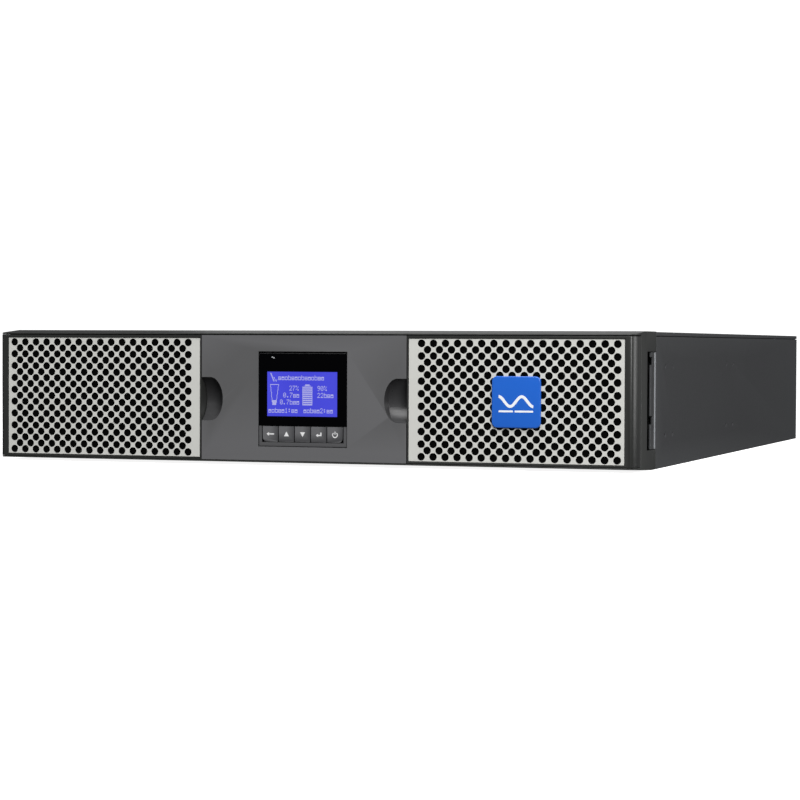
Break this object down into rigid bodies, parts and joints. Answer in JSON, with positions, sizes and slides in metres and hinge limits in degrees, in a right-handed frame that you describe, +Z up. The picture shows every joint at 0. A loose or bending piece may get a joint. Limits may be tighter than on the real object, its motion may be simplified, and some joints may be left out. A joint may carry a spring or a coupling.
{
  "type": "uninterruptible power supply",
  "caption": "Low wide rack power supply: perforated silver front covers, tilting blue display with keys, battery drawer behind the right cover, sockets and fans at the rear.",
  "frame": {"origin": "middle of the underside of the whole unit", "axes": "+Z up, -Y out of the front bezel, +Y out of the rear panel, +X to the right seen from the front"},
  "size_m": [0.44, 0.605, 0.0881],
  "materials": {
    "chassis_steel": "charcoal powder coat, fine texture",
    "shell_plastic": "dark charcoal moulded ABS, light spark texture",
    "fascia_plastic": "grey moulded ABS, light spark texture",
    "silver_paint": "satin silver paint on perforated sheet",
    "badge_blue": "blue moulded badge with a bevelled edge",
    "black_plastic": "black moulded plastic",
    "black_gloss": "glossy black window with a clear area",
    "lcd_blue": "blue backlit liquid crystal panel",
    "key_plastic": "grey moulded keys with white marks",
    "zinc_steel": "zinc plated steel",
    "green_board": "green solder mask",
    "bare_aluminium": "extruded aluminium",
    "ferrite_core": "ferrite and laminated core",
    "copper_winding": "enamelled copper winding",
    "pack_blue": "blue wrapped cell pack",
    "capacitor_sleeve": "dark blue sleeve"
  },
  "bodies": {
    "root": {"chassis_tray": "chassis_steel", "top_cover": "chassis_steel", "front_bulkhead": "chassis_steel", "bay_partition": "zinc_steel", "rear_panel": "chassis_steel", "rack_flange_right": "zinc_steel", "rack_flange_left": "zinc_steel", "bezel_shell": "shell_plastic", "centre_panel": "fascia_plastic", "dock_socket": "black_plastic", "main_board": "green_board", "control_board": "green_board", "heat_sink_front": "bare_aluminium", "heat_sink_rear": "bare_aluminium", "transformer": "ferrite_core", "boost_choke": "copper_winding", "filter_choke": "copper_winding", "capacitor_1": "capacitor_sleeve", "capacitor_2": "capacitor_sleeve", "capacitor_3": "capacitor_sleeve", "power_inlet": "black_plastic", "outlet_pair_1": "black_plastic", "outlet_pair_2": "black_plastic", "outlet_pair_3": "black_plastic", "outlet_pair_4": "black_plastic", "large_outlet_lower": "black_plastic", "large_outlet_upper": "black_plastic", "usb_port": "zinc_steel", "serial_port": "zinc_steel", "ground_screw": "zinc_steel", "fan_frame_1": "black_plastic", "fan_guard_1": "zinc_steel", "fan_frame_2": "black_plastic", "fan_guard_2": "zinc_steel"},
    "display": {"display_housing": "fascia_plastic", "display_window": "black_gloss", "lcd_panel": "lcd_blue", "display_board": "green_board"},
    "escape_key": {"key_escape": "key_plastic"},
    "up_key": {"key_up": "key_plastic"},
    "down_key": {"key_down": "key_plastic"},
    "enter_key": {"key_enter": "key_plastic"},
    "power_key": {"key_power": "key_plastic"},
    "left_front": {"left_cover": "shell_plastic", "left_grille": "silver_paint"},
    "right_front": {"right_cover": "shell_plastic", "right_grille": "silver_paint", "badge": "badge_blue"},
    "battery_drawer": {"battery_tray": "zinc_steel", "battery_pack": "pack_blue", "bms_board": "green_board", "tray_handle": "black_plastic", "battery_plug": "black_plastic"},
    "network_module": {"network_card": "zinc_steel", "card_screw_right": "zinc_steel", "card_screw_left": "zinc_steel"},
    "contact_plug": {"contact_terminal": "black_plastic"},
    "fan_1": {"fan_rotor_1": "black_plastic"},
    "fan_2": {"fan_rotor_2": "black_plastic"}
  },
  "joints": [
    {"name": "display_tilt", "type": "hinge", "parent": "root", "child": "display", "pos_m": [0, -0.2985, 0.0717], "axis": [-1, 0, 0], "range_deg": [0, 45]},
    {"name": "escape_key_press", "type": "slide", "parent": "display", "child": "escape_key", "axis": [0, 1, 0], "range_m": [0, 0.0008], "stiffness_N_per_m": 800},
    {"name": "up_key_press", "type": "slide", "parent": "display", "child": "up_key", "axis": [0, 1, 0], "range_m": [0, 0.0008], "stiffness_N_per_m": 800},
    {"name": "down_key_press", "type": "slide", "parent": "display", "child": "down_key", "axis": [0, 1, 0], "range_m": [0, 0.0008], "stiffness_N_per_m": 800},
    {"name": "enter_key_press", "type": "slide", "parent": "display", "child": "enter_key", "axis": [0, 1, 0], "range_m": [0, 0.0008], "stiffness_N_per_m": 800},
    {"name": "power_key_press", "type": "slide", "parent": "display", "child": "power_key", "axis": [0, 1, 0], "range_m": [0, 0.0008], "stiffness_N_per_m": 800},
    {"name": "left_front_pull", "type": "slide", "parent": "root", "child": "left_front", "axis": [0, -1, 0], "range_m": [0, 0.06]},
    {"name": "battery_drawer_slide", "type": "slide", "parent": "root", "child": "battery_drawer", "axis": [0, -1, 0], "range_m": [0, 0.4]},
    {"name": "right_front_pull", "type": "slide", "parent": "root", "child": "right_front", "axis": [0, -1, 0], "range_m": [0, 0.5]},
    {"name": "network_module_slide", "type": "slide", "parent": "root", "child": "network_module", "axis": [0, 1, 0], "range_m": [0, 0.1]},
    {"name": "contact_plug_pull", "type": "slide", "parent": "root", "child": "contact_plug", "axis": [0, 1, 0], "range_m": [0, 0.02]},
    {"name": "fan_1_spin", "type": "hinge", "parent": "root", "child": "fan_1", "pos_m": [0.176, 0.2839, 0.04405], "axis": [0, 1, 0], "continuous": true},
    {"name": "fan_2_spin", "type": "hinge", "parent": "root", "child": "fan_2", "pos_m": [0.1, 0.2839, 0.04405], "axis": [0, 1, 0], "continuous": true}
  ],
  "couplings": [
    {"joint": "right_front_pull", "follows": "battery_drawer_slide", "ratio": 1.25}
  ]
}
